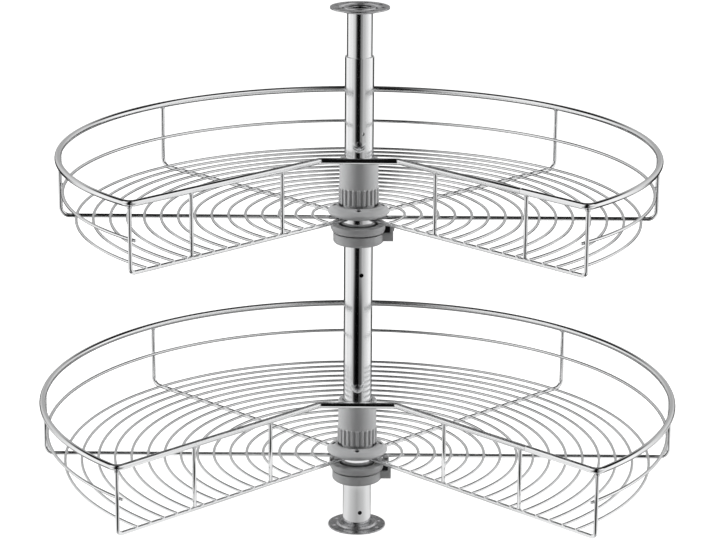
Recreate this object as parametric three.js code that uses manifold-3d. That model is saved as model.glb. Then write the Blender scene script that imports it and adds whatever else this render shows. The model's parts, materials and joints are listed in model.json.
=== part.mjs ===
// Corner carousel unit: two three-quarter wire baskets that turn, one above the other, on a telescopic pole.
// Millimetres, +Z up. The origin is the middle of the foot's underside, and the open corner faces -Y.
import * as THREE from "three";
import { mergeVertices } from "three/addons/utils/BufferGeometryUtils.js";
import Module from "manifold-3d";

const wasm = await Module();
wasm.setup();

// ---------------------------------------------------------------- driving dimensions
const clearance = 0.3; // between pieces that touch, or that run on each other
const cutPast = 1; // how far a hole or slot is cut past the material it goes through
const roundSides = 20; // facets of every turned piece
const smallSides = 8; // facets of screws, holes and thick wires
const thinSides = 5; // facets of the thin wires
const rimSteps = 36; // round the rim and the middle rail
const arcCoarseness = 5; // more of this makes fewer steps round a floor arc

// Pole, inner tube and their flanges
const poleRadius = 16;
const poleWall = 1.5;
const telescopeGap = 0.5; // between the pole's bore and the inner tube
const innerTubeWall = 1.5;
const innerTubeOverlap = 200; // length of inner tube inside the pole
const innerTubeShown = 54.5; // from the pole's top to the ceiling
const totalHeight = 598;
const flangeRadius = 32.5;
const flangeSheet = 2;
const beadHeight = 3; // the flange's raised ring, above its flat
const beadCrown = 3; // width of the ring's flat top
const beadSlope = 1.4; // width of each of its sides
const beadGap = 0.9; // from the pole's skin to the foot of the ring
const flangeHoles = 8;
const flangeHoleRadius = 2.25;
const flangeHoleInset = 1.4; // from the foot of the ring to the nearest edge of a hole
const flangeHoleTurn = 15; // degrees from +X to the first hole
const spigotHeight = 26;
const poleHoleRadius = 2;
const poleHoleTurn = 13; // degrees from -Y round to +X
const poleHoleHeights = [20, 300, 460];
const screwAboveRim = 12;
const screwShankRadius = 2;
const screwHeadRadius = 3.5;
const screwHeadHeight = 2.2;

// Wires of the baskets
const rimWire = 7;
const frameWire = 4.5;
const railWire = 3.5;
const arcWire = 3;
const basketDepth = 73; // floor wires to rim, centre to centre
const notchTurn = 45; // degrees from -Y to each side of the open corner
const firstArcRadius = 50.75;
const arcSpacing = 18.51;
const arcEdgeGap = 15; // least distance from the last arc to the rim
const weldDepth = 0.6; // how far the arcs sink into the wires they are welded to
const wireEndReach = 1; // how far an arc or rail stands past the wire it ends on
const crossbarReach = 43; // from the pole's axis to the bar in front of it
const cornerFootBend = 5.5; // of the two notch wires, at the foot of the open corner's uprights
const floorBend = 10; // of the other floor wires
const notchBend = 8;
const jointRun = 2; // straight length on each side of the joint between the rim and the notch bar

// Hub of each basket. Heights are from the centre of the floor wires.
const centreTubeRadius = 20;
const centreTubeWall = 1.4;
const centreTubeRise = 8;
const centreTubeDrop = 9.4;
const bushRise = 2;
const bushFlange = 1.3;
const washerThickness = 0.9;
const sleeveRadius = 21.5;
const sleeveTop = 66;
const sleeveChamfer = 1;
const sleeveFlangeRadius = 29.5;
const sleeveFlange = 3.4;
const ribCount = 24;
const ribProud = 0.8;
const ribBottom = 15.5;
const ribTop = 35;
const ringRadius = 34;
const ringTop = 14;
const ringLip = 1.9; // skirt of the ring outside the sleeve's flange
const ringRound = 2.2;
const ringShoulder = 4.5;
const ringScrewCircle = 25.7;
const ringScrewRadius = 1.4;
const ringScrewHead = 2.6;
const ringScrewHeadHeight = 1.6;
const ringScrewSeat = 10.6; // height of the screw heads' seat

// Stop collar and clamp under each hub
const collarTop = -7.5;
const collarSeam = -16;
const collarRadius = 31;
const collarTaper = 2; // its foot is this much smaller
const collarFlare = 4; // height over which it widens
const collarRound = 1.5;
const collarRecessGap = 1.8; // between the centre tube and the collar's recess
const clampInset = 3; // the clamp ring is this much smaller than the collar
const clampBottom = -29.2;
const clampRound = 2;
const lugRoot = 4; // of the lug inside the clamp ring
const lugReach = 7.4; // past the collar
const lugWidth = 18;
const lugBottom = -26;
const lugCover = 2; // left in front of the clamp screw's blind end
const postThickness = 3.6;
const postTop = -8.5;
const postRoot = 1; // of the post inside the lug
const slitWidth = 2;
const clampScrewRadius = 2.5;
const clampScrewHead = 4.25;
const clampScrewHeadHeight = 4;
const setScrewRadius = 2.5;
const setScrewProud = 1;

// The two baskets: heights of the floor wires over the foot, radii of the rims' centre lines, and heights of
// the middle rails over the floor wires
const lowerFloorHeight = 85;
const lowerRimRadius = 352;
const lowerRailHeight = 38.6;
const upperFloorHeight = 363.5;
const upperRimRadius = 328.4;
const upperRailHeight = 34.5;

// An upright stands in the middle of a gap between two arcs, counted from the first arc.
const baskets = [
  {
    name: "lower",
    floorHeight: lowerFloorHeight,
    rimRadius: lowerRimRadius,
    railHeight: lowerRailHeight,
    uprightGaps: { inner: 4, outer: 10 },
  },
  {
    name: "upper",
    floorHeight: upperFloorHeight,
    rimRadius: upperRimRadius,
    railHeight: upperRailHeight,
    uprightGaps: { inner: 3, outer: 10 },
  },
];

// ---------------------------------------------------------------- materials
const chrome = new THREE.MeshStandardMaterial({ color: 0xd8dadd, roughness: 0.12, metalness: 1 });
const steel = new THREE.MeshStandardMaterial({ color: 0x8f9296, roughness: 0.4, metalness: 1 });
const plastic = new THREE.MeshStandardMaterial({ color: 0x9c9fa2, roughness: 0.55, metalness: 0 });
const nylon = new THREE.MeshStandardMaterial({ color: 0xe6e4dd, roughness: 0.5, metalness: 0 });
const blackSteel = new THREE.MeshStandardMaterial({ color: 0x1c1c1e, roughness: 0.5, metalness: 1 });

// ---------------------------------------------------------------- helpers
const degrees = THREE.MathUtils.degToRad;
const at = (x, y, z) => new THREE.Vector3(x, y, z);

// A closed geometry as a solid that can be joined and cut.
function solid(geometry) {
  const bare = geometry.clone();
  bare.deleteAttribute("normal");
  bare.deleteAttribute("uv");
  const merged = mergeVertices(bare, 1e-3);
  return new wasm.Manifold(
    new wasm.Mesh({
      numProp: 3,
      vertProperties: merged.attributes.position.array,
      triVerts: new Uint32Array(merged.index.array),
    }),
  );
}

function geometryOf(body) {
  const { vertProperties, triVerts } = body.getMesh();
  const geometry = new THREE.BufferGeometry();
  geometry.setAttribute("position", new THREE.BufferAttribute(vertProperties, 3));
  geometry.setIndex(new THREE.BufferAttribute(triVerts, 1));
  geometry.computeVertexNormals();
  return geometry;
}

function cut(body, ...tools) {
  return tools.reduce((left, tool) => left.subtract(tool), body);
}

function join(body, ...others) {
  return others.reduce((sum, other) => sum.add(other), body);
}

// A ring turned about Z from its [radius, height] outline, which runs anticlockwise.
function turned(outline, sides = roundSides) {
  const points = [...outline, outline[0]].map(([r, h]) => new THREE.Vector2(r, h));
  return solid(new THREE.LatheGeometry(points, sides).rotateX(Math.PI / 2));
}

// A round bar from one point to another.
function bar(from, to, radius, sides = smallSides) {
  const along = to.clone().sub(from);
  const geometry = new THREE.CylinderGeometry(radius, radius, along.length(), sides);
  geometry.applyQuaternion(new THREE.Quaternion().setFromUnitVectors(at(0, 1, 0), along.normalize()));
  const middle = from.clone().add(to).multiplyScalar(0.5);
  return solid(geometry.translate(middle.x, middle.y, middle.z));
}

function block(low, high) {
  const size = high.clone().sub(low);
  const middle = low.clone().add(high).multiplyScalar(0.5);
  return solid(new THREE.BoxGeometry(size.x, size.y, size.z).translate(middle.x, middle.y, middle.z));
}

// The centre line of a wire. Its rings stand only at the given points.
class WirePath extends THREE.Curve {
  constructor(points) {
    super();
    this.points = points;
    this.last = points.length - 1;
  }
  getPoint(t, target = new THREE.Vector3()) {
    const i = Math.min(Math.floor(t * this.last), this.last - 1);
    return target.lerpVectors(this.points[i], this.points[i + 1], t * this.last - i);
  }
  getPointAt(u, target) {
    return this.getPoint(u, target);
  }
  // Halfway between the directions of the two runs that meet at a point.
  getTangentAt(u, target = new THREE.Vector3()) {
    const i = Math.round(u * this.last);
    target.set(0, 0, 0);
    for (const k of [i - 1, i]) {
      if (k < 0 || k >= this.last) continue;
      target.add(this.points[k + 1].clone().sub(this.points[k]).normalize());
    }
    return target.normalize();
  }
}

function wire(points, diameter, sides = smallSides) {
  const corners = Array.from({ length: sides }, (_, i) => {
    const turn = (2 * Math.PI * i) / sides;
    return new THREE.Vector2(Math.cos(turn), Math.sin(turn)).multiplyScalar(diameter / 2);
  });
  const extrudePath = new WirePath(points);
  const options = { extrudePath, steps: points.length - 1, bevelEnabled: false };
  return solid(new THREE.ExtrudeGeometry(new THREE.Shape(corners), options));
}

// Points of a wire that runs through the corners with each one rounded to a bend.
function bent(corners, bendRadius, steps) {
  const points = [corners[0]];
  for (let i = 1; i < corners.length - 1; i++) {
    const back = corners[i - 1].clone().sub(corners[i]).normalize();
    const ahead = corners[i + 1].clone().sub(corners[i]).normalize();
    const half = back.angleTo(ahead) / 2;
    const inward = back.clone().add(ahead).normalize();
    const centre = corners[i].clone().addScaledVector(inward, bendRadius / Math.sin(half));
    const axis = ahead.clone().cross(back).normalize();
    const start = corners[i].clone().addScaledVector(back, bendRadius / Math.tan(half)).sub(centre);
    for (let k = 0; k <= steps; k++) {
      const turn = ((Math.PI - 2 * half) * k) / steps;
      points.push(start.clone().applyAxisAngle(axis, turn).add(centre));
    }
  }
  return [...points, corners.at(-1)];
}

// Points round the pole at one radius and height, up to an angle either side of the back (+Y).
function arcAround(radius, height, halfTurn, steps) {
  return Array.from({ length: steps + 1 }, (_, i) => {
    const turn = halfTurn * ((2 * i) / steps - 1);
    return at(radius * Math.sin(turn), radius * Math.cos(turn), height);
  });
}

// The point at a radius and height in a direction given in degrees from the back (+Y) towards +X.
function around(radius, turn, height) {
  return at(radius * Math.sin(degrees(turn)), radius * Math.cos(degrees(turn)), height);
}

// Steps round a three-quarter arc: a multiple of six, so that rings stand at the sides and at the back.
const arcSteps = (radius) => 6 * Math.max(2, Math.round(Math.sqrt(radius) / arcCoarseness));

const root = new THREE.Group();

function place(parent, name, material, body) {
  const mesh = new THREE.Mesh(geometryOf(body), material);
  mesh.name = name;
  parent.add(mesh);
}

// ---------------------------------------------------------------- pole and flanges
const poleBore = poleRadius - poleWall;
const innerTubeRadius = poleBore - telescopeGap;
const innerTubeBore = innerTubeRadius - innerTubeWall;
const poleTop = totalHeight - innerTubeShown;
const notchSide = 180 - notchTurn; // degrees from the back to each side of the open corner
const screwHeight = (b) => b.floorHeight + basketDepth + screwAboveRim;

// A pressed disc: flat outer ring with screw holes, raised bead, and a flat seat round its hole.
function flange(bore) {
  const bead = poleRadius + beadGap;
  const flat = bead + 2 * beadSlope + beadCrown;
  const crest = flangeSheet + beadHeight;
  const disc = turned([
    [bore, 0],
    [bead, 0],
    [bead + beadSlope, beadHeight],
    [bead + beadSlope + beadCrown, beadHeight],
    [flat, 0],
    [flangeRadius, 0],
    [flangeRadius, flangeSheet],
    [flat, flangeSheet],
    [bead + beadSlope + beadCrown, crest],
    [bead + beadSlope, crest],
    [bead, flangeSheet],
    [bore, flangeSheet],
  ]);
  const circle = flat + flangeHoleInset + flangeHoleRadius;
  const holes = Array.from({ length: flangeHoles }, (_, i) => {
    const turn = degrees(flangeHoleTurn + (360 * i) / flangeHoles);
    const [x, y] = [circle * Math.cos(turn), circle * Math.sin(turn)];
    return bar(at(x, y, -cutPast), at(x, y, flangeSheet + cutPast), flangeHoleRadius);
  });
  return cut(disc, ...holes);
}

function tube(outer, inner, bottom, top) {
  return turned([
    [inner, bottom],
    [outer, bottom],
    [outer, top],
    [inner, top],
  ]);
}

const spigotRadius = poleBore - clearance;
place(root, "foot_flange", steel, flange(spigotRadius + clearance));
place(root, "foot_spigot", steel, bar(at(0, 0, 0), at(0, 0, spigotHeight), spigotRadius, roundSides));

const poleTube = tube(poleRadius, poleBore, flangeSheet + clearance, poleTop);
const drilled = poleHoleHeights.map((z) => {
  const turn = 180 - poleHoleTurn;
  return bar(around(poleBore - cutPast, turn, z), around(poleRadius + cutPast, turn, z), poleHoleRadius);
});
const tapped = baskets.map((b) => {
  const depth = (y) => at(0, y, screwHeight(b));
  return bar(depth(-poleRadius - cutPast), depth(cutPast - poleBore), screwShankRadius + clearance);
});
place(root, "main_pole", chrome, cut(poleTube, ...drilled, ...tapped));

// A pan-head screw through the front wall of the pole.
for (const b of baskets) {
  const depth = (y) => at(0, y, screwHeight(b));
  const seat = -poleRadius - clearance;
  const head = bar(depth(seat - screwHeadHeight), depth(seat), screwHeadRadius);
  const shank = bar(depth(seat - screwHeadHeight / 2), depth(-poleBore), screwShankRadius);
  place(root, b.name + "_pole_screw", steel, join(head, shank));
}

const innerTop = totalHeight - flangeSheet - clearance;
place(root, "inner_tube", chrome, tube(innerTubeRadius, innerTubeBore, poleTop - innerTubeOverlap, innerTop));

const ceiling = new THREE.Group();
ceiling.position.z = totalHeight;
ceiling.rotation.x = Math.PI;
root.add(ceiling);
place(ceiling, "ceiling_flange", steel, flange(innerTubeBore));

// ---------------------------------------------------------------- basket: welded wires
const rimSide = rimWire / 2;
const frameSide = frameWire / 2;
const standTop = basketDepth - rimSide - clearance; // upturned ends stop under the rim
const centreTubeBore = centreTubeRadius - centreTubeWall;

// Rim: the arc, and the bent bar that goes on from both its ends, round the open corner and in front of the pole.
function makeRim(add, b) {
  const cornerRun = notchBend + 2 * jointRun + clearance; // from the end of the arc to the corner
  const outer = Math.hypot(b.rimRadius, cornerRun);
  const arcEnd = degrees(notchSide) - Math.asin(cornerRun / outer);
  const past = (side, run) => {
    const turn = side * THREE.MathUtils.radToDeg(arcEnd);
    return around(b.rimRadius, turn, basketDepth).add(around(run, turn + side * 90, 0));
  };
  const arc = arcAround(b.rimRadius, basketDepth, arcEnd, rimSteps);
  add("rim", chrome, wire([past(-1, jointRun), ...arc, past(1, jointRun)], rimWire));
  const inner = crossbarReach / Math.cos(degrees(notchTurn));
  const corners = [
    past(-1, jointRun + clearance),
    around(outer, -notchSide, basketDepth),
    around(inner, -notchSide, basketDepth),
    around(inner, notchSide, basketDepth),
    around(outer, notchSide, basketDepth),
    past(1, jointRun + clearance),
  ];
  add("notch_bar", chrome, wire(bent(corners, notchBend, 3), rimWire));
}

// A floor wire: it runs out from the centre tube and turns up to the rim.
function floorWire(b, turn, start, level, bend = floorBend) {
  const corners = [
    around(start, turn, level),
    around(b.rimRadius, turn, level),
    around(b.rimRadius, turn, standTop),
  ];
  return wire(bent(corners, bend, 3), frameWire);
}

// The floor: arcs welded on the two notch wires, and these on the centre tube. Four more wires lie under it.
function makeFloor(add, b) {
  let grid = tube(centreTubeRadius, centreTubeBore, -centreTubeDrop, centreTubeRise);
  for (const turn of [-notchSide, notchSide]) {
    grid = grid.add(floorWire(b, turn, centreTubeBore + centreTubeWall / 2, 0, cornerFootBend));
  }
  const arcLevel = (frameWire + arcWire) / 2 - weldDepth;
  const lastArc = b.rimRadius - arcEdgeGap;
  for (let radius = firstArcRadius; radius <= lastArc; radius += arcSpacing) {
    const end = degrees(notchSide) + (frameSide + wireEndReach) / radius;
    grid = grid.add(wire(arcAround(radius, arcLevel, end, arcSteps(radius)), arcWire, thinSides));
  }
  add("floor_grid", chrome, grid);

  const level = -weldDepth - clearance;
  const start = centreTubeRadius + clearance;
  add("left_wire", chrome, floorWire(b, -90, start, level));
  add("right_wire", chrome, floorWire(b, 90, start, level));
  add("back_left_wire", chrome, floorWire(b, -45, start, level));
  add("back_right_wire", chrome, floorWire(b, 45, start, level));
}

// Middle rail inside the upturned ends, and straight uprights in the two sides of the open corner.
function makeSides(add, b) {
  const railRadius = b.rimRadius - (frameWire + railWire) / 2 - clearance;
  const railEnd = degrees(notchSide) + (frameSide + wireEndReach) / railRadius;
  const rail = arcAround(railRadius, b.railHeight, railEnd, rimSteps);
  add("middle_rail", chrome, wire(rail, railWire, thinSides));
  const sides = [["left", -notchSide], ["right", notchSide]];
  for (const [side, turn] of sides) {
    for (const [place, gap] of Object.entries(b.uprightGaps)) {
      const radius = firstArcRadius + (gap + 0.5) * arcSpacing;
      const foot = around(radius, turn, frameSide + clearance);
      add(`${side}_${place}_upright`, chrome, bar(foot, around(radius, turn, standTop), frameSide));
    }
  }
}

// ---------------------------------------------------------------- basket: plastic hub
const runBore = poleRadius + clearance;
const hubSeat = frameSide + clearance; // the hub stands on the floor wires
const sleeveFlangeTop = hubSeat + sleeveFlange;
const ringScrewTurns = { back: 0, right: 90, front: 180, left: -90 };

function ringScrewHole(turn) {
  const foot = around(ringScrewCircle, turn, hubSeat - cutPast);
  return bar(foot, around(ringScrewCircle, turn, ringTop), ringScrewRadius + clearance);
}

// Sleeve: a bore on the pole, a cup over the centre tube and a flange on the floor wires.
function makeSleeve(add) {
  const cup = centreTubeRadius + clearance;
  const cupTop = centreTubeRise + clearance;
  const body = turned([
    [cup, hubSeat],
    [sleeveFlangeRadius, hubSeat],
    [sleeveFlangeRadius, sleeveFlangeTop],
    [sleeveRadius, sleeveFlangeTop],
    [sleeveRadius, sleeveTop - sleeveChamfer],
    [sleeveRadius - sleeveChamfer, sleeveTop],
    [runBore, sleeveTop],
    [runBore, cupTop],
    [cup, cupTop],
  ]);
  const outline = Array.from({ length: 2 * ribCount }, (_, i) => {
    const radius = i % 2 ? sleeveRadius + ribProud : sleeveRadius - ribProud / 2;
    return new THREE.Vector2(0, -radius).rotateAround(new THREE.Vector2(), (Math.PI * i) / ribCount);
  });
  const section = new THREE.Shape(outline);
  section.holes.push(new THREE.Path().absarc(0, 0, (runBore + sleeveRadius) / 2, 0, 2 * Math.PI));
  const options = { depth: ribTop - ribBottom, bevelEnabled: false, curveSegments: smallSides };
  const ribs = solid(new THREE.ExtrudeGeometry(section, options).translate(0, 0, ribBottom));
  const holes = Object.values(ringScrewTurns).map(ringScrewHole);
  add("hub_sleeve", plastic, cut(join(body, ribs), ...holes));
}

// Hub ring: a rounded cover over the sleeve's flange, held by four screws.
function makeHubRing(add) {
  const skirt = sleeveFlangeRadius + clearance;
  const bore = sleeveRadius + clearance;
  const ceilingHeight = sleeveFlangeTop + clearance;
  const body = turned([
    [skirt, hubSeat],
    [skirt + ringLip, hubSeat],
    [ringRadius, hubSeat + ringRound],
    [ringRadius, hubSeat + 2 * ringRound],
    [ringRadius - ringShoulder, ringTop - ringRound],
    [ringRadius - 2 * ringShoulder, ringTop],
    [bore, ringTop],
    [bore, ceilingHeight],
    [skirt, ceilingHeight],
  ]);
  const turns = Object.values(ringScrewTurns);
  const wells = turns.map((turn) => {
    const seat = around(ringScrewCircle, turn, ringScrewSeat);
    return bar(seat, around(ringScrewCircle, turn, ringTop + cutPast), ringScrewHead + clearance);
  });
  add("hub_ring", plastic, cut(body, ...turns.map(ringScrewHole), ...wells));
  for (const [side, turn] of Object.entries(ringScrewTurns)) {
    const neck = ringScrewSeat + clearance;
    const level = (height) => around(ringScrewCircle, turn, height);
    const head = bar(level(neck), level(neck + ringScrewHeadHeight), ringScrewHead);
    const shank = bar(level(hubSeat + clearance), level(neck + ringScrewHeadHeight / 2), ringScrewRadius);
    add("hub_screw_" + side, steel, join(head, shank));
  }
}

// ---------------------------------------------------------------- bearing, stop collar and clamp
const bushSeat = -centreTubeDrop - clearance; // the centre tube stands on the bush's flange
const bushFoot = bushSeat - bushFlange;
const washerTop = bushFoot - clearance;
const washerFoot = washerTop - washerThickness;

// Flanged bush in the centre tube. It turns on a washer that lies in the stop collar.
function makeBush(add) {
  const sleeve = centreTubeBore - clearance;
  const body = turned([
    [runBore, bushFoot],
    [centreTubeRadius, bushFoot],
    [centreTubeRadius, bushSeat],
    [sleeve, bushSeat],
    [sleeve, bushRise],
    [runBore, bushRise],
  ]);
  add("bearing_bush", nylon, body);
}

function makeCollar(add) {
  add("thrust_washer", steel, tube(centreTubeRadius, runBore, washerFoot, washerTop));
  const recess = centreTubeRadius + collarRecessGap;
  const recessFloor = washerFoot - clearance;
  const body = turned([
    [runBore, collarSeam],
    [collarRadius - collarTaper, collarSeam],
    [collarRadius, collarSeam + collarFlare],
    [collarRadius, collarTop - collarRound],
    [collarRadius - collarRound, collarTop],
    [recess, collarTop],
    [recess, recessFloor],
    [runBore, recessFloor],
  ]);
  add("stop_collar", plastic, body);
}

// Clamp ring: split at its lug, with a post for the set screw that holds the collar.
function makeClamp(add) {
  const clampRadius = collarRadius - clampInset;
  const lugEnd = collarRadius + lugReach;
  const top = collarSeam - clearance;
  const ring = turned([
    [runBore, clampBottom],
    [clampRadius - clampRound, clampBottom],
    [clampRadius, clampBottom + clampRound],
    [clampRadius, top],
    [runBore, top],
  ]);
  const halfLug = lugWidth / 2;
  const halfSlit = slitWidth / 2;
  const lug = block(at(clampRadius - lugRoot, -halfLug, lugBottom), at(lugEnd, halfLug, top));
  const post = block(at(lugEnd - postThickness, -halfLug, top - postRoot), at(lugEnd, -halfSlit, postTop));
  const slit = block(at(0, -halfSlit, clampBottom - cutPast), at(lugEnd + cutPast, halfSlit, top + cutPast));

  const clampX = (clampRadius + lugEnd) / 2;
  const clampZ = (lugBottom + top) / 2;
  const blindEnd = lugCover - halfLug;
  const along = (y) => at(clampX, y, clampZ);
  const clampHole = bar(along(blindEnd), along(halfLug + cutPast), clampScrewRadius + clearance);
  const setY = -(halfLug + halfSlit) / 2;
  const setZ = (top + postTop) / 2;
  const across = (x) => at(x, setY, setZ);
  const setHole = bar(across(collarRadius), across(lugEnd + cutPast), setScrewRadius + clearance);
  add("clamp_ring", plastic, cut(join(ring, lug, post), slit, clampHole, setHole));

  const headSeat = halfLug + clearance;
  const headTop = headSeat + clampScrewHeadHeight;
  const shank = bar(along(blindEnd + clearance), along(headTop - clampScrewHeadHeight / 2), clampScrewRadius);
  add("clamp_screw", blackSteel, join(shank, bar(along(headSeat), along(headTop), clampScrewHead)));
  const tip = collarRadius + clearance;
  add("set_screw", blackSteel, bar(across(tip), across(lugEnd + setScrewProud), setScrewRadius));
}

for (const b of baskets) {
  const group = new THREE.Group();
  group.position.z = b.floorHeight;
  root.add(group);
  const add = (name, material, body) => place(group, `${b.name}_${name}`, material, body);
  makeRim(add, b);
  makeFloor(add, b);
  makeSides(add, b);
  makeSleeve(add);
  makeHubRing(add);
  makeBush(add);
  makeCollar(add);
  makeClamp(add);
}

export default root;
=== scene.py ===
# %% [markdown]
# # A corner carousel unit
#
# Two chromed wire baskets, each three quarters of a circle, turn one above the other on a telescopic pole
# inside a corner cupboard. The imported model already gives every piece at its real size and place, but its
# round wires and tubes have flat facets. This lesson gives each piece the smooth shape and the finish that
# the real one has. Nothing is moved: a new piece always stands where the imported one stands.

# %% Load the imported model
import json
import math

import bmesh
import bpy
from mathutils import Matrix, Vector


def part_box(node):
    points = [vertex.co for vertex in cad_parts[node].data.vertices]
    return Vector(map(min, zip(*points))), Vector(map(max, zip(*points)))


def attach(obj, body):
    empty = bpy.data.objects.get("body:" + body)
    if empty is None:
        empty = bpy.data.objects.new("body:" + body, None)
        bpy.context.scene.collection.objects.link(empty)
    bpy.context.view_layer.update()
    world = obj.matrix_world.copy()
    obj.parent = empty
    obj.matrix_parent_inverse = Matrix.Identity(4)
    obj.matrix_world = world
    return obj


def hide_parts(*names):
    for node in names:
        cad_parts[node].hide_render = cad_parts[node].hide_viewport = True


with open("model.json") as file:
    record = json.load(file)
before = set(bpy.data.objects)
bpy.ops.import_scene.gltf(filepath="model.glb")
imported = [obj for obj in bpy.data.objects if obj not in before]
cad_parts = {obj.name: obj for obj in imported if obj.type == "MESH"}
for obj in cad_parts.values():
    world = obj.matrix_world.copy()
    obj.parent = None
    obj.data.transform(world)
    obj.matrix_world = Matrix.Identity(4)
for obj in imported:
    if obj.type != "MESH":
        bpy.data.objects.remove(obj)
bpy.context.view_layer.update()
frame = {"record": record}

# %% [markdown]
# ## Whose piece is it?
#
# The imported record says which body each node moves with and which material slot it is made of. Reading both
# from the record is better than typing them again, because the scene then can't disagree with the model.

# %% Bodies and slots of the nodes
record = frame["record"]
body_of = {node: body for body, nodes in record["behaviour"]["bodies"].items() for node in nodes}
slot_of = {part["node"]: part["material_slot"] for part in record["subparts"]}
print(len(body_of), "nodes ride on a body,", len(set(slot_of.values())), "material slots")

# %% [markdown]
# ## The camera
#
# The photograph was taken from the front, a little above the baskets, with a long lens, so the unit shows
# almost no perspective. The place and the lens below were worked out from the ellipses of the rims. A long
# lens far away could be swapped for a short one close by, but then the near corners would grow too large.

# %% Camera at the photograph's place
CAMERA_PLACE = Vector((-0.0003, -2.8356, 1.1189))
CAMERA_PITCH = 0.2805  # radians below the horizon
CAMERA_ROLL = 0.0066
CAMERA_LENS = 133.7  # millimetres, on a sensor 36 mm wide

camera = bpy.data.objects.new("photo_camera", bpy.data.cameras.new("photo_camera"))
bpy.context.scene.collection.objects.link(camera)
camera.data.sensor_width = 36
camera.data.lens = CAMERA_LENS
aim = Matrix.Rotation(math.pi / 2 - CAMERA_PITCH, 4, "X") @ Matrix.Rotation(CAMERA_ROLL, 4, "Z")
camera.matrix_world = Matrix.Translation(CAMERA_PLACE) @ aim
bpy.context.scene.camera = camera
print("camera at", tuple(round(c, 3) for c in CAMERA_PLACE), "lens", CAMERA_LENS, "mm")

# %% [markdown]
# ## The studio that the chrome sees
#
# Chrome has almost no colour of its own: it shows the room. In the photograph every upright tube has a black
# band a little left of its middle, soft grey beside it, white sides and a thin dark line along each edge, and
# every lying wire has a dark line along its top. So the room has a narrow black card in front that reaches
# high up, white walls at both sides, and darkness behind and overhead. A ready-made picture of a studio could
# be used, but a few grey levels round the compass say the same and can be read and changed. Each pair below
# is a direction in degrees, 0 towards the camera and positive to the right, and how light the room is there.

# %% The room as grey levels round the compass
ROOM_LEVEL = [  # near the horizon
    (-180, 0.42), (-168, 0.45), (-156, 0.6), (-132, 0.72), (-110, 1.0), (-86, 0.88), (-66, 0.88),
    (-57, 0.74), (-46, 0.66), (-38, 0.5), (-31, 0.22), (-25, 0.05), (-18, 0.003), (3, 0.003), (7, 0.08),
    (14, 0.28), (21, 0.2), (29, 0.48), (46, 0.54), (60, 0.68), (78, 0.82), (92, 0.95), (110, 1.05),
    (132, 0.72), (156, 0.6), (168, 0.45), (180, 0.42),
]
ROOM_RAISED = [  # 35 degrees up
    (-180, 0.005), (-116, 0.01), (-108, 0.08), (-98, 0.95), (-60, 1.15), (-42, 0.95), (-32, 0.5),
    (-22, 0.01), (0, 0.005), (17, 0.01), (26, 0.5), (36, 1.0), (60, 1.15), (98, 0.95), (108, 0.08),
    (116, 0.01), (180, 0.005),
]
ROOM_HIGH = [  # 65 degrees up
    (-180, 0.01), (-110, 0.02), (-92, 0.06), (-70, 0.2), (-45, 0.2), (-28, 0.02), (0, 0.005),
    (26, 0.02), (45, 0.2), (68, 0.2), (92, 0.06), (110, 0.02), (180, 0.01),
]
ROOM_TOP = [  # from left to right
    (-0.35, 0.3), (-0.12, 0.1), (-0.04, 0.01), (0.03, 0.01), (0.12, 0.1), (0.35, 0.3),
]
# Painted light and shade of the floor as the chrome sees it: light close to the unit, least so in front of
# its foot, and dim behind it.
FOOT_PAINTED_LIGHT = [
    (-180, 0.35), (-140, 0.4), (-118, 0.8), (-80, 0.8), (-45, 0.6), (0, 0.42), (45, 0.58), (80, 0.8),
    (118, 0.82), (140, 0.4), (180, 0.35),
]
# Painted dark stripes in the glossy floor's colour, behind both sides of the unit.
GLOSS_PAINTED_SHADE = [
    (-180, 0.5), (-160, 0.3), (-151, 0.04), (-134, 0.04), (-124, 1.0), (124, 1.0), (134, 0.04),
    (151, 0.04), (160, 0.3), (180, 0.5),
]
# Painted dark reflection of the black card in the glossy floor, in front of the unit.
CARD_PAINTED_SHADE = [  # the card's near end is wide
    (-180, 1.0), (-45, 1.0), (-30, 0.25), (28, 0.25), (42, 1.0), (180, 1.0),
]
# Painted light and shade a little further out: light at the sides and in front, dim behind the unit.
RING_PAINTED_LIGHT = [(-180, 0.2), (-150, 0.3), (-120, 0.85), (0, 0.9), (120, 0.9), (150, 0.3), (180, 0.2)]
print(len(ROOM_LEVEL) + len(ROOM_RAISED) + len(ROOM_HIGH), "levels round the room")

# %% [markdown]
# ## Small node helpers
#
# Material nodes are easiest to read when a line makes one node, sets its inputs and gives back its output.
# These helpers do that. The grey ramp turns an angle or a distance into a grey level.


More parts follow.
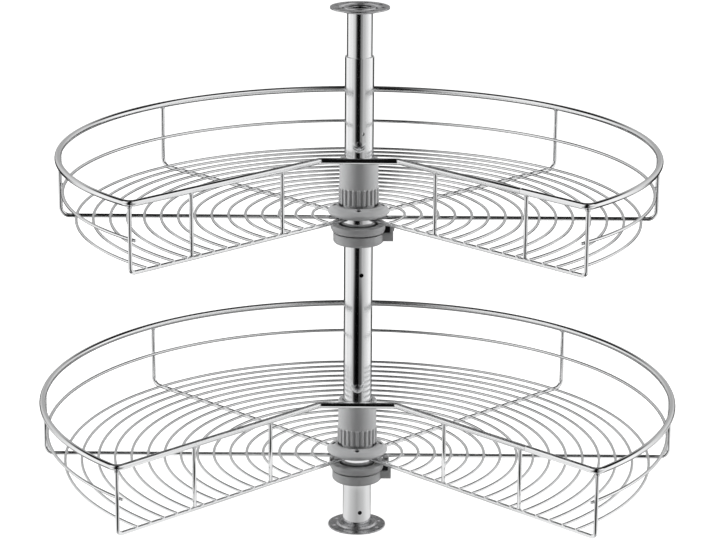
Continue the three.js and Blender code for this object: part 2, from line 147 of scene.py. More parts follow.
# %% Node helpers
class Nodes:
    """The node tree of a material or of the world."""

    def __init__(self, owner):
        owner.use_nodes = True
        self.tree = owner.node_tree

    def add(self, kind, inputs=(), output=0, **settings):
        """Makes a node, sets or links its inputs by name or number, and gives one of its outputs."""
        node = self.tree.nodes.new(kind)
        for name, value in settings.items():
            setattr(node, name, value)
        for name, value in dict(inputs).items():
            if isinstance(value, bpy.types.NodeSocket):
                self.tree.links.new(value, node.inputs[name])
            else:
                node.inputs[name].default_value = value
        return node.outputs[output] if node.outputs else None

    def math(self, operation, a, b=0.0):
        return self.add("ShaderNodeMath", {0: a, 1: b}, operation=operation)

    def spread(self, value, low, high, to_low=0.0, to_high=1.0, kind="LINEAR"):
        """The value's run from low to high, stretched over another run and held at its ends."""
        inputs = {"Value": value, "From Min": low, "From Max": high, "To Min": to_low, "To Max": to_high}
        return self.add("ShaderNodeMapRange", inputs, interpolation_type=kind)

    def greys(self, value, levels):
        """A grey ramp through (value, grey) pairs."""
        low, high = levels[0][0], levels[-1][0]
        out = self.add("ShaderNodeValToRGB", {"Fac": self.spread(value, low, high)})
        stops = out.node.color_ramp.elements
        stops.remove(stops[1])
        for number, (place, grey) in enumerate(levels):
            where = (place - low) / (high - low)
            stop = stops[0] if number == 0 else stops.new(where)
            stop.position = where
            stop.color = (grey, grey, grey, 1)
        return out

    def mix(self, share, a, b):
        """Colour a turning into colour b as share goes from 0 to 1."""
        inputs = {0: share, 6: a, 7: b}
        return self.add("ShaderNodeMix", inputs, 2, data_type="RGBA")

    def light_path(self, name):
        out = self.add("ShaderNodeLightPath")
        return out.node.outputs[name]

    def noise(self, size, detail=2.0, stretch=(1, 1, 1)):
        """A soft random pattern from 0 to 1, with patches about size metres across."""
        place = self.add("ShaderNodeTexCoord").node.outputs["Object"]
        place = self.add("ShaderNodeMapping", {"Vector": place, "Scale": stretch})
        return self.add("ShaderNodeTexNoise", {"Vector": place, "Scale": 1 / size, "Detail": detail})

    def bump(self, height, depth, strength=1.0):
        """Surface relief that is depth metres deep."""
        return self.add("ShaderNodeBump", {"Height": height, "Distance": depth, "Strength": strength})


WHITE = (1, 1, 1, 1)
print("node helpers ready")

# %% [markdown]
# ## World and floor
#
# The world gives the room's grey levels to the light and to the chrome, but the camera sees plain white.
# The greys are blended from one height to the next, because a sharp step would show as a line on every tube.
# The floor is a large pale sheet. The camera sees it white with the unit's soft shadow on it. The chrome sees
# a glow with painted light and shade close to the unit, so the foot of the pole stays light. Further out the
# floor is glossy and mirrors the room, with a painted dark reflection of the black card in front and painted
# dark stripes behind the sides.

# %% World
RAISED_STARTS, RAISED_WHOLE = 24, 34  # degrees above the horizon
HIGH_STARTS, HIGH_WHOLE = 44, 60
TOP_STARTS, TOP_WHOLE = 72, 80


def compass(nodes, x, y):
    """Degrees round the pole from the camera's side, positive to the right."""
    return nodes.math("DEGREES", nodes.math("ARCTAN2", x, nodes.math("MULTIPLY", y, -1.0)))


world = bpy.data.worlds.new("studio")
bpy.context.scene.world = world
air = Nodes(world)
air.tree.nodes.clear()
direction = air.add("ShaderNodeTexCoord").node.outputs["Generated"]
split = air.add("ShaderNodeSeparateXYZ", {0: direction}).node.outputs
turn = compass(air, split["X"], split["Y"])
rise = air.math("DEGREES", air.math("ARCSINE", split["Z"]))
level = air.greys(turn, ROOM_LEVEL)
for starts, whole, above in (
    (RAISED_STARTS, RAISED_WHOLE, air.greys(turn, ROOM_RAISED)),
    (HIGH_STARTS, HIGH_WHOLE, air.greys(turn, ROOM_HIGH)),
    (TOP_STARTS, TOP_WHOLE, air.greys(split["X"], ROOM_TOP)),
):
    level = air.mix(air.spread(rise, starts, whole, kind="SMOOTHSTEP"), level, above)
room_light = air.add("ShaderNodeBackground", {"Color": level, "Strength": 1.0})
plain_white = air.add("ShaderNodeBackground", {"Color": WHITE, "Strength": 1.0})
seen = air.math("MAXIMUM", air.light_path("Is Camera Ray"), air.light_path("Is Transmission Ray"))
shown = air.add("ShaderNodeMixShader", {0: seen, 1: room_light, 2: plain_white})
air.add("ShaderNodeOutputWorld", {"Surface": shown})
print("the world holds the room's levels at four heights")

# %% Floor
FLOOR_SIZE = 30.0
FOOT_ENDS, RING_STARTS = 0.13, 0.2  # metres from the pole
GLOSS_STARTS, GLOSS_WHOLE = 0.33, 0.45
CARD_NEAR, CARD_FAR = 0.8, 1.1
GLOW_STARTS, GLOW_WHOLE = 0.6, 1.6
NEAR_GLOW = 0.84  # the lamps add the rest up to white
GLOSS_ROUGHNESS = 0.1
LIT_GREY = (0.5, 0.5, 0.5, 1)
SHADOW_GREY = (0.28, 0.28, 0.28, 1)

bpy.ops.mesh.primitive_plane_add(size=FLOOR_SIZE)
floor = bpy.context.object
floor.name = "studio_floor"
floor_paint = bpy.data.materials.new("pale_floor")
sheet = Nodes(floor_paint)
sheet.tree.nodes.clear()
split = sheet.add("ShaderNodeSeparateXYZ", {0: sheet.add("ShaderNodeNewGeometry")}).node.outputs
turn = compass(sheet, split["X"], split["Y"])
square = sheet.math("ADD", sheet.math("POWER", split["X"], 2.0), sheet.math("POWER", split["Y"], 2.0))
distance = sheet.math("SQRT", square)
off_foot = sheet.spread(distance, FOOT_ENDS, RING_STARTS, kind="SMOOTHSTEP")
painted_near_light = sheet.mix(off_foot, sheet.greys(turn, FOOT_PAINTED_LIGHT), sheet.greys(turn, RING_PAINTED_LIGHT))
# A glow, not a matt surface, that carries the painted light and shade close to the unit.
painted_glow = sheet.add("ShaderNodeEmission", {"Color": painted_near_light, "Strength": 1.0})
# Painted shade in the glossy floor's colour: the black card's dark reflection near the unit, and dark stripes
# behind its sides.
painted_card_fade = sheet.spread(distance, CARD_NEAR, CARD_FAR, kind="SMOOTHSTEP")
painted_gloss_shade = sheet.mix(painted_card_fade, sheet.greys(turn, CARD_PAINTED_SHADE), WHITE)
painted_gloss_shade = sheet.add("ShaderNodeMix", {0: 1.0, 6: painted_gloss_shade, 7: sheet.greys(turn, GLOSS_PAINTED_SHADE)}, 2,
                 data_type="RGBA", blend_type="MULTIPLY")
gloss = sheet.add("ShaderNodeBsdfGlossy", {"Color": painted_gloss_shade, "Roughness": GLOSS_ROUGHNESS})
away = sheet.spread(distance, GLOSS_STARTS, GLOSS_WHOLE, kind="SMOOTHSTEP")
to_chrome = sheet.add("ShaderNodeMixShader", {0: away, 1: painted_glow, 2: gloss})
lit = sheet.add("ShaderNodeBsdfDiffuse", {"Color": LIT_GREY})
shadow = sheet.add("ShaderNodeBsdfDiffuse", {"Color": SHADOW_GREY})
bright = sheet.spread(distance, GLOW_STARTS, GLOW_WHOLE, NEAR_GLOW, 1.0)
glow = sheet.add("ShaderNodeEmission", {"Color": WHITE, "Strength": bright})
to_camera = sheet.add("ShaderNodeAddShader", {0: shadow, 1: glow})
paint = sheet.add("ShaderNodeMixShader", {0: sheet.light_path("Is Glossy Ray"), 1: lit, 2: to_chrome})
paint = sheet.add("ShaderNodeMixShader", {0: sheet.light_path("Is Camera Ray"), 1: paint, 2: to_camera})
sheet.add("ShaderNodeOutputMaterial", {"Surface": paint})
floor.data.materials.append(floor_paint)
print("floor", FLOOR_SIZE, "m wide")

# %% [markdown]
# ## Lamps
#
# The grey plastic of the hub is darkest in its middle and light at both sides, so the main lamps are two tall
# soft boxes left and right of the unit. A weak one overhead opens the shadows under the rims. Area lamps give
# soft edges to every shadow, which a point lamp wouldn't. They are kept out of the reflections, because the
# room above already says what the chrome sees.

# %% Soft boxes
LAMPS = [
    # name, place in metres, width and height, watts
    ("left_softbox", (-1.9, 0.1, 0.9), (1.0, 1.6), 72.0),
    ("right_softbox", (1.9, 0.1, 0.9), (1.0, 1.6), 66.0),
    ("top_softbox", (0.0, 0.1, 2.4), (1.6, 1.6), 10.0),
]
UNIT_MIDDLE = Vector((0, 0, 0.3))
for name, place, (width, height), watts in LAMPS:
    lamp = bpy.data.lights.new(name, "AREA")
    lamp.shape = "RECTANGLE"
    lamp.size, lamp.size_y, lamp.energy = width, height, watts
    box = bpy.data.objects.new(name, lamp)
    bpy.context.scene.collection.objects.link(box)
    box.location = place
    box.rotation_euler = (UNIT_MIDDLE - Vector(place)).to_track_quat("-Z", "Y").to_euler()
    box.visible_glossy = False
    box.visible_camera = False
bpy.context.scene.view_settings.view_transform = "Standard"
print(len(LAMPS), "soft boxes")

# %% [markdown]
# ## Finishes
#
# There are eight finishes. Bright chrome is a metal with very low roughness: a faint cloudiness in the
# roughness and a ripple a few hundredths of a millimetre deep keep it from looking like a perfect mirror.
# The pressed flanges are zinc plated, duller and blotched. The hub is moulded plastic with the fine grain of
# a spark-eroded mould. A painted-on picture could give the same blotches, but noise nodes need no picture
# and stay sharp at any distance.

# %% Metal finishes
materials = {}


def finish(name, colour, metallic, roughness):
    """A new material: its nodes and its shader, with the even values set on the shader itself."""
    material = bpy.data.materials.new(name)
    nodes = Nodes(material)
    shader = nodes.tree.nodes["Principled BSDF"]
    shader.inputs["Base Color"].default_value = (*colour, 1)
    shader.inputs["Metallic"].default_value = metallic
    shader.inputs["Roughness"].default_value = roughness
    materials[name] = material
    return nodes, shader


def vary_roughness(nodes, shader, pattern, low, high):
    nodes.tree.links.new(nodes.spread(pattern, 0.3, 0.7, low, high), shader.inputs["Roughness"])


def vary_colour(nodes, shader, pattern, dark, light):
    shade = nodes.mix(nodes.spread(pattern, 0.3, 0.7), (*dark, 1), (*light, 1))
    nodes.tree.links.new(shade, shader.inputs["Base Color"])


def relief(nodes, shader, pattern, depth, strength=1.0):
    nodes.tree.links.new(nodes.bump(pattern, depth, strength), shader.inputs["Normal"])


nodes, shader = finish("chrome_wire", (0.9, 0.905, 0.91), 1.0, 0.08)
vary_roughness(nodes, shader, nodes.noise(0.02), 0.05, 0.11)
relief(nodes, shader, nodes.noise(0.012), 0.00003)

nodes, shader = finish("chrome_tube", (0.9, 0.905, 0.91), 1.0, 0.06)
vary_roughness(nodes, shader, nodes.noise(0.015, stretch=(1, 1, 0.15)), 0.04, 0.09)
relief(nodes, shader, nodes.noise(0.006, stretch=(1, 1, 0.1)), 0.000006)

nodes, shader = finish("weld_chrome", (0.8, 0.8, 0.81), 1.0, 0.16)
vary_roughness(nodes, shader, nodes.noise(0.001), 0.1, 0.25)
relief(nodes, shader, nodes.noise(0.0012), 0.0002)

nodes, shader = finish("pressed_steel", (0.55, 0.55, 0.56), 1.0, 0.32)
vary_colour(nodes, shader, nodes.noise(0.006, 3.0), (0.42, 0.42, 0.43), (0.68, 0.68, 0.69))
vary_roughness(nodes, shader, nodes.noise(0.003, 3.0), 0.24, 0.38)
relief(nodes, shader, nodes.noise(0.004), 0.00003)

nodes, shader = finish("plated_screw", (0.2, 0.2, 0.205), 1.0, 0.16)
vary_roughness(nodes, shader, nodes.noise(0.001), 0.1, 0.22)
relief(nodes, shader, nodes.noise(0.0008), 0.00001)

nodes, shader = finish("black_screw", (0.02, 0.02, 0.021), 1.0, 0.45)
vary_roughness(nodes, shader, nodes.noise(0.001), 0.35, 0.55)
relief(nodes, shader, nodes.noise(0.0006), 0.00002)
print("metals:", ", ".join(materials))

# %% Plastic finishes
nodes, shader = finish("grey_plastic", (0.29, 0.292, 0.295), 0.0, 0.42)
vary_colour(nodes, shader, nodes.noise(0.03), (0.28, 0.282, 0.285), (0.3, 0.302, 0.305))
vary_roughness(nodes, shader, nodes.noise(0.004), 0.36, 0.48)
relief(nodes, shader, nodes.noise(0.0007), 0.00003)

nodes, shader = finish("white_nylon", (0.8, 0.79, 0.75), 0.0, 0.4)
vary_colour(nodes, shader, nodes.noise(0.01), (0.76, 0.75, 0.71), (0.83, 0.82, 0.79))
relief(nodes, shader, nodes.noise(0.0009), 0.00003)
print("all finishes:", ", ".join(materials))

# %% [markdown]
# ## Making meshes
#
# All sizes from here on are millimetres, and one helper turns the finished mesh into metres. Two forms make
# almost the whole unit: a round section swept along a line, for the wires, and an outline turned about an
# axis, for tubes and hub pieces. Curve objects could make the wires too, but a swept mesh lets a wire swell,
# dome over at its ends and carry a weld seam.

# %% Piece helper
MM = 0.001
SMOOTH_UNDER = math.radians(38)  # edges that bend more than this stay sharp
FINISH_WORDS = {
    "chrome_wire": "chromed",
    "chrome_tube": "chromed",
    "pressed_steel": "pressed",
    "plated_screw": "plated",
    "grey_plastic": "moulded",
    "white_nylon": "moulded",
    "black_screw": "blackened",
}


def box_mm(node):
    """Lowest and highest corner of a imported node, in millimetres."""
    low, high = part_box(node)
    return low / MM, high / MM


def mesh_of(bm, smooth=True):
    """The finished mesh, in metres, with its faces pointing out."""
    bmesh.ops.recalc_face_normals(bm, faces=bm.faces)
    bm.transform(Matrix.Scale(MM, 4))
    mesh = bpy.data.meshes.new("piece")
    bm.to_mesh(mesh)
    bm.free()
    if smooth:
        mesh.shade_smooth()
        mesh.set_sharp_from_angle(angle=SMOOTH_UNDER)
    return mesh


def make_piece(bm, node, name=None, finish_name=None):
    """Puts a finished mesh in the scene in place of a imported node, on the same body and slot."""
    slot = slot_of[node]
    piece = bpy.data.objects.new(name or f"{node}_{FINISH_WORDS[slot]}", mesh_of(bm))
    bpy.context.scene.collection.objects.link(piece)
    piece.data.materials.append(materials[finish_name or slot])
    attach(piece, body_of[node])
    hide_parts(node)
    return piece


print("pieces are made in millimetres and stored in metres")

# %% Sweeping a wire along a line
DOME = ((0.0, 1.0), (0.18, 0.93), (0.32, 0.78), (0.4, 0.55))  # a sheared wire end: reach and girth, in radii


def tangents(points):
    """The direction of a line at each of its points."""
    ahead = [(b - a).normalized() for a, b in zip(points, points[1:])]
    between = [(a + b).normalized() for a, b in zip(ahead, ahead[1:])]
    return [ahead[0], *between, ahead[-1]]


def sweep(bm, points, diameter, sides=12, girth=None, closed=False):
    """A round wire along the points. girth may give its swelling at each point, 1 for none."""
    ways = tangents(points)
    if closed:
        over = (points[0] - points[-1]).normalized()
        ways[0] = ((points[1] - points[0]).normalized() + over).normalized()
        ways[-1] = (over + (points[-1] - points[-2]).normalized()).normalized()
    radius = diameter / 2
    girth = girth or [1.0] * len(points)
    side = ways[0].orthogonal().normalized()
    stations = []
    for number, (point, way) in enumerate(zip(points, ways)):
        if number:
            side = ways[number - 1].rotation_difference(way) @ side
        stations.append((point, way, side.copy(), radius * girth[number]))
    first, last = stations[0], stations[-1]
    head = [(first[0] - first[1] * radius * reach, *first[1:3], radius * size) for reach, size in DOME[:0:-1]]
    tail = [(last[0] + last[1] * radius * reach, *last[1:3], radius * size) for reach, size in DOME[1:]]
    rings = []
    for point, way, side, size in [*head, *stations, *tail]:
        across = way.cross(side)
        turns = [2 * math.pi * k / sides for k in range(sides)]
        ring = [point + size * (math.cos(t) * side + math.sin(t) * across) for t in turns]
        rings.append([bm.verts.new(corner) for corner in ring])
    if closed:
        rings = rings[len(head):len(rings) - len(tail)]
    for low, high in zip(rings, rings[1:]):
        for k in range(sides):
            bm.faces.new((low[k - 1], low[k], high[k], high[k - 1]))
    if closed:
        start = min(range(sides), key=lambda k: (rings[-1][k].co - rings[0][0].co).length)
        for k in range(sides):
            a, b = (start + k - 1) % sides, (start + k) % sides
            bm.faces.new((rings[-1][a], rings[-1][b], rings[0][k], rings[0][k - 1]))
        return
    bm.faces.new(rings[0])
    bm.faces.new(rings[-1])


print("a wire end domes over in", len(DOME) - 1, "steps")

# %% Lines for the wires
WIRE_STEP = 6.0  # millimetres between sections on a curve


def around(radius, turn, height):
    """The point at a radius and height, turn degrees from the back towards the right."""
    return Vector((radius * math.sin(math.radians(turn)), radius * math.cos(math.radians(turn)), height))


def arc(radius, height, half_turn, step=WIRE_STEP):
    """Points round the pole, up to half_turn degrees either side of the back."""
    steps = max(12, math.ceil(2 * math.radians(half_turn) * radius / step))
    return [around(radius, half_turn * (2 * i / steps - 1), height) for i in range(steps + 1)]


def bent(corners, bend, steps=8):
    """A line through the corners, with each one rounded to a bend."""
    line = [corners[0]]
    for before, corner, after in zip(corners, corners[1:], corners[2:]):
        back, ahead = (before - corner).normalized(), (after - corner).normalized()
        half = back.angle(ahead) / 2
        centre = corner + (back + ahead).normalized() * bend / math.sin(half)
        start = corner + back * bend / math.tan(half) - centre
        axis = ahead.cross(back).normalized()
        for k in range(steps + 1):
            line.append(centre + Matrix.Rotation((math.pi - 2 * half) * k / steps, 3, axis) @ start)
    return [*line, corners[-1]]


print("curved wires have a section every", WIRE_STEP, "mm")

# %% Turning an outline
ROUND_SIDES = 96


def rounded(outline, steps=5):
    """A closed outline of (x, y, fillet) corners, each rounded by its fillet."""
    points = []
    for number, (x, y, fillet) in enumerate(outline):
        corner = Vector((x, y))
        if not fillet:
            points.append(corner)
            continue
        before = Vector(outline[number - 1][:2]) - corner
        after = Vector(outline[(number + 1) % len(outline)][:2]) - corner
        half = before.angle(after) / 2
        reach = min(fillet / math.tan(half), 0.48 * before.length, 0.48 * after.length)
        start, end = corner + before.normalized() * reach, corner + after.normalized() * reach
        for k in range(steps + 1):
            t = k / steps
            points.append(start * (1 - t) ** 2 + corner * 2 * t * (1 - t) + end * t**2)
    return points


def turned(bm, outline, sides=ROUND_SIDES, swell=None, place=None):
    """A ring turned about Z from its closed (radius, height) outline. swell may change the radius."""
    rings = []
    for k in range(sides):
        turn = 2 * math.pi * k / sides
        ring = []
        for radius, height in outline:
            r = swell(radius, height, turn) if swell else radius
            point = Vector((r * math.cos(turn), r * math.sin(turn), height))
            ring.append(bm.verts.new(place @ point if place else point))
        rings.append(ring)
    for k in range(sides):
        a, b = rings[k - 1], rings[k]
        for i in range(len(outline)):
            bm.faces.new((a[i - 1], b[i - 1], b[i], a[i]))


print("turned pieces have", ROUND_SIDES, "sides")

# %% Solid bars and cutting
def bar(bm, start, end, radius, sides=32, edge=0.0):
    """A solid round bar, with its edges eased if edge says so."""
    way = (end - start).normalized()
    length = (end - start).length
    place = Matrix.Translation(start) @ way.to_track_quat("Z", "Y").to_matrix().to_4x4()
    profile = [(radius - edge, 0.0), (radius, edge), (radius, length - edge), (radius - edge, length)]
    if not edge:
        profile = [(radius, 0.0), (radius, length)]
    turns = [2 * math.pi * k / sides for k in range(sides)]
    rings = []
    for r, height in profile:
        ring = [Vector((r * math.cos(t), r * math.sin(t), height)) for t in turns]
        rings.append([bm.verts.new(place @ point) for point in ring])
    for low, high in zip(rings, rings[1:]):
        for k in range(sides):
            bm.faces.new((low[k - 1], low[k], high[k], high[k - 1]))
    bm.faces.new(rings[0])
    bm.faces.new(rings[-1])


def boolean(piece, other_bm, operation):
    """Cuts the other mesh from a piece, or joins it on, and keeps the result as the piece's mesh."""
    other = bpy.data.objects.new("tool", mesh_of(other_bm, smooth=False))
    bpy.context.scene.collection.objects.link(other)
    modifier = piece.modifiers.new("tool", "BOOLEAN")
    modifier.object, modifier.operation, modifier.solver = other, operation, "EXACT"
    graph = bpy.context.evaluated_depsgraph_get()
    mesh = bpy.data.meshes.new_from_object(piece.evaluated_get(graph))
    piece.modifiers.clear()
    piece.data = mesh
    bpy.data.objects.remove(other)
    mesh.shade_smooth()
    mesh.set_sharp_from_angle(angle=SMOOTH_UNDER)


print("holes are cut with the exact solver")

# %% [markdown]
# ## The pole
#
# The pole is a 32 mm steel tube with a second tube sliding inside it. A tube could be a cylinder with a hole
# down it, but a real one has a wall, and its cut end is dressed to a small round. So its outline is turned:
# up the bore, over the rounded lip and down the outside. The tube's skin then gets exact round normals, so
# that the drilled holes leave no ripple in the reflection.

# %% Tubes
TUBE_SIDES = 128
LIP = 0.45  # round on the cut ends of the tubes
POLE_WALL = 1.5
SKIN_SLOPE = 0.05  # a face of the skin leans no more than this
SKIN_FACING = 0.97  # and faces straight out at least this much
SKIN_OFF = 0.05  # millimetres from the skin's radius


def tube_outline(outer, bore, bottom, top, lip=LIP):
    return rounded([(bore, bottom, lip), (outer, bottom, lip), (outer, top, lip), (bore, top, lip)])


def round_normals(piece, radii):
    """Gives every face that lies on one of these radii the normals of a true cylinder."""
    mesh = piece.data
    normals = [Vector()] * len(mesh.loops)
    for face in mesh.polygons:
        outward = Vector((face.center.x, face.center.y, 0)).normalized()
        if abs(face.normal.z) > SKIN_SLOPE or abs(face.normal.dot(outward)) < SKIN_FACING:
            continue
        reach = Vector(mesh.vertices[face.vertices[0]].co.xy).length
        if min(abs(reach - radius * MM) for radius in radii) > SKIN_OFF * MM:
            continue
        sign = 1 if face.normal.dot(outward) > 0 else -1
        for loop in face.loop_indices:
            point = mesh.vertices[mesh.loops[loop].vertex_index].co
            normals[loop] = sign * Vector((point.x, point.y, 0)).normalized()
    mesh.normals_split_custom_set([tuple(n) for n in normals])


low, high = box_mm("main_pole")
POLE_RADIUS = high.x
pole_bottom, pole_top = low.z, high.z
bm = bmesh.new()
turned(bm, tube_outline(POLE_RADIUS, POLE_RADIUS - POLE_WALL, pole_bottom, pole_top), TUBE_SIDES)
pole = make_piece(bm, "main_pole")

low, high = box_mm("inner_tube")
INNER_RADIUS = high.x
bm = bmesh.new()
turned(bm, tube_outline(INNER_RADIUS, INNER_RADIUS - POLE_WALL, low.z, high.z), TUBE_SIDES)
inner_tube = make_piece(bm, "inner_tube")
round_normals(inner_tube, (INNER_RADIUS, INNER_RADIUS - POLE_WALL))
print("pole", round(2 * POLE_RADIUS, 1), "mm, inner tube", round(2 * INNER_RADIUS, 1), "mm across")

# %% [markdown]
# ## Holes in the pole
#
# Three holes are drilled a little right of the front, for the pins that lock the height, and two more right
# at the front take the screws above the baskets. They are cut out of the mesh, so a close view looks into a
# dark tube. A black disc laid on the skin would give itself away from the side.

# %% Drill the pole
PIN_HOLES = [20, 300, 460]
PIN_HOLE_TURN = 180 - 13  # degrees from the back
PIN_HOLE_RADIUS = 2.4
SCREW_HOLE_RADIUS = 2.3
DRILL_REACH = 3.0

bm = bmesh.new()
for height in PIN_HOLES:
    inside = around(POLE_RADIUS - DRILL_REACH, PIN_HOLE_TURN, height)
    bar(bm, inside, around(POLE_RADIUS + DRILL_REACH, PIN_HOLE_TURN, height), PIN_HOLE_RADIUS)
for level_name in ("lower", "upper"):
    low, high = box_mm(f"{level_name}_pole_screw")
    height = (low.z + high.z) / 2
    inside = Vector((0, DRILL_REACH - POLE_RADIUS, height))
    bar(bm, inside, Vector((0, -POLE_RADIUS - DRILL_REACH, height)), SCREW_HOLE_RADIUS)
boolean(pole, bm, "DIFFERENCE")
round_normals(pole, (POLE_RADIUS, POLE_RADIUS - POLE_WALL))
print("pole drilled at", PIN_HOLES, "mm and behind both screws")

# %% [markdown]
# ## Flanges
#
# The foot and the ceiling plate are the same pressing: a flat disc with a raised ring round the pole and
# eight screw holes. A press rounds every bend of the sheet, so each corner of the outline gets a fillet, and
# the ring catches a bright crescent of light as in the photograph.

# %% Pressed flanges
SHEET = 2.0
BEAD_HEIGHT = 3.0
BEAD_CROWN = 3.0
BEAD_SLOPE = 1.4
BEAD_GAP = 0.9
HOLE_COUNT = 8
HOLE_RADIUS = 2.25
HOLE_INSET = 1.4
HOLE_TURN = 15


def flange(node, bore, upside_down):
    """A pressed disc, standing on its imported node's place."""
    low, high = box_mm(node)
    bead = POLE_RADIUS + BEAD_GAP
    crown = bead + BEAD_SLOPE + BEAD_CROWN
    flat = crown + BEAD_SLOPE
    outline = rounded([
        (bore, 0, 0.3), (bead, 0, 0.8), (bead + BEAD_SLOPE, BEAD_HEIGHT, 0.8), (crown, BEAD_HEIGHT, 0.8),
        (flat, 0, 0.8), (high.x, 0, 0.5), (high.x, SHEET, 0.7), (flat, SHEET, 1.2),
        (crown, SHEET + BEAD_HEIGHT, 1.6), (bead + BEAD_SLOPE, SHEET + BEAD_HEIGHT, 1.6), (bead, SHEET, 0.6),
        (bore, SHEET, 0.4),
    ])
    side = -1 if upside_down else 1
    base = high.z if upside_down else low.z
    centre = (low + high) / 2
    place = Matrix.Translation((centre.x, centre.y, base)) @ Matrix.Diagonal((1, side, side, 1))
    bm = bmesh.new()
    turned(bm, [tuple(p) for p in outline], place=place)
    disc = make_piece(bm, node)
    bm = bmesh.new()
    circle = flat + HOLE_INSET + HOLE_RADIUS
    for number in range(HOLE_COUNT):
        turn = math.radians(HOLE_TURN + 360 * number / HOLE_COUNT)
        foot = Vector((circle * math.cos(turn), circle * math.sin(turn), 0))
        up = Vector((0, 0, 1))
        bar(bm, place @ (foot - up), place @ (foot + up * (SHEET + 1)), HOLE_RADIUS)
    boolean(disc, bm, "DIFFERENCE")
    return disc


SPIGOT_GAP = 0.3
low, high = box_mm("foot_spigot")
spigot_radius = high.x
flange("foot_flange", spigot_radius + SPIGOT_GAP, upside_down=False)
flange("ceiling_flange", INNER_RADIUS - POLE_WALL, upside_down=True)
bm = bmesh.new()
bar(bm, Vector((0, 0, low.z)), Vector((0, 0, high.z)), spigot_radius, sides=64, edge=0.8)
make_piece(bm, "foot_spigot", finish_name="black_screw")
print("flanges with", HOLE_COUNT, "holes each")

# %% [markdown]
# ## The baskets
#
# Each basket is one weldment of bright wire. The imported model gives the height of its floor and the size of
# its rim, and the rest follows from the pitch of the floor arcs. Both baskets are made by the same functions,
# so that they differ only in these few numbers, as the real ones do.

# %% Sizes of the baskets
RIM_WIRE = 7.0
FRAME_WIRE = 4.5
RAIL_WIRE = 3.5
ARC_WIRE = 3.0
BASKET_DEPTH = 73.0  # floor wires to rim
NOTCH_TURN = 135  # degrees from the back to each side of the open corner
FIRST_ARC = 50.75
ARC_PITCH = 18.51
LAST_ARC_GAP = 15.0
WELD_DEPTH = 0.6
END_REACH = 1.0
CROSSBAR_REACH = 43.0
FLOOR_BEND = 10.0
CORNER_FOOT_BEND = 5.5
NOTCH_BEND = 8.0
JOINT_RUN = 2.0
CLEARANCE = 0.3
UPRIGHT_GAPS = {"lower": {"inner": 4, "outer": 10}, "upper": {"inner": 3, "outer": 10}}


class Basket:
    """The driving sizes of one basket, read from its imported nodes."""

    def __init__(self, name):
        self.name = name
        low, high = box_mm(f"{name}_rim")
        self.rim = high.x - RIM_WIRE / 2
        self.top = (low.z + high.z) / 2
        self.floor = self.top - BASKET_DEPTH
        low, high = box_mm(f"{name}_middle_rail")
        self.rail = (low.z + high.z) / 2
        self.arc_level = self.floor + (FRAME_WIRE + ARC_WIRE) / 2 - WELD_DEPTH
        self.low_level = self.floor - WELD_DEPTH - CLEARANCE
        self.arcs = []
        radius = FIRST_ARC
        while radius <= self.rim - LAST_ARC_GAP:
            self.arcs.append(radius)
            radius += ARC_PITCH

    def node(self, part):
        return f"{self.name}_{part}"


baskets = [Basket("lower"), Basket("upper")]
for b in baskets:
    print(b.name, "rim", round(b.rim, 1), "floor", round(b.floor, 1), "arcs", len(b.arcs))

# %% [markdown]
# ## Rim and notch bar
#
# The rim is a 7 mm wire bent to three quarters of a circle. It goes on round two tight corners into the open
# corner: two straight sides and a short bar in front of the pole. On the real unit this is one closed loop,
# butt welded once in its right side, where the seam shows as a fine ring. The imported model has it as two
# pieces that meet near the outer corners. Here one sweep stands for both, because their joint must not show.

# %% Rims
RIM_SIDES = 20
BEND_STEPS = 10
SEAM = {"lower": 254.0, "upper": 238.5}  # from the pole's axis to the seam in the right side
SEAM_HALF = ((0.12, 0.94), (0.35, 1.03), (0.9, 1.035), (1.6, 1.0))  # along the wire, and the wire's girth
SEAM_RING = [*((-along, size) for along, size in reversed(SEAM_HALF)), *SEAM_HALF]


def make_rim(b):
    corner_run = NOTCH_BEND + 2 * JOINT_RUN + CLEARANCE
    outer = math.hypot(b.rim, corner_run)
    arc_end = NOTCH_TURN - math.degrees(math.asin(corner_run / outer))
    round_back = arc(b.rim, b.top, arc_end)
    inner = CROSSBAR_REACH / math.cos(math.radians(180 - NOTCH_TURN))
    corners = [round_back[-1]]
    corners += [around(r, t, b.top) for r, t in
                ((outer, NOTCH_TURN), (inner, NOTCH_TURN), (inner, -NOTCH_TURN), (outer, -NOTCH_TURN))]
    corners.append(round_back[0])
    notch = bent(corners, NOTCH_BEND, BEND_STEPS)
    seam_at = BEND_STEPS + 2  # the ring stands between the two bends of the right side
    seam = SEAM[b.name]
    ring = [around(seam - along, NOTCH_TURN, b.top) for along, _ in SEAM_RING]
    line = [*round_back, *notch[1:seam_at], *ring, *notch[seam_at:-1]]
    girth = [1.0] * len(line)
    start = len(round_back) + seam_at - 1
    girth[start:start + len(ring)] = [size for _, size in SEAM_RING]
    bm = bmesh.new()
    sweep(bm, line, RIM_WIRE, RIM_SIDES, girth, closed=True)
    rim = make_piece(bm, b.node("rim"))
    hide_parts(b.node("notch_bar"))


for b in baskets:
    make_rim(b)
print("rims made, each", RIM_WIRE, "mm thick")

# %% [markdown]
# ## Floor
#
# Fine arcs lie on six thicker wires that run out from the centre tube like spokes, and each spoke turns up at
# its end to carry the rim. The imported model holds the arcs, the two notch wires and the centre tube as one
# solid. Here they are separate pieces, so that a close view shows one wire lying on the other.

# %% Floor wires
CENTRE_TUBE_RADIUS = 20.0
CENTRE_TUBE_WALL = 1.4
CENTRE_TUBE_RISE = 8.0
CENTRE_TUBE_DROP = 9.4
SPOKES = {"left_wire": -90, "right_wire": 90, "back_left_wire": -45, "back_right_wire": 45}
SPOKE_SIDES = 16
ARC_SIDES = 10


def spoke_line(b, turn, start, level, bend):
    """A floor wire and its upturned end, which reaches a little into the rim's weld."""
    top = b.top - RIM_WIRE / 2 + WELD_DEPTH
    return bent([around(start, turn, level), around(b.rim, turn, level), around(b.rim, turn, top)], bend)


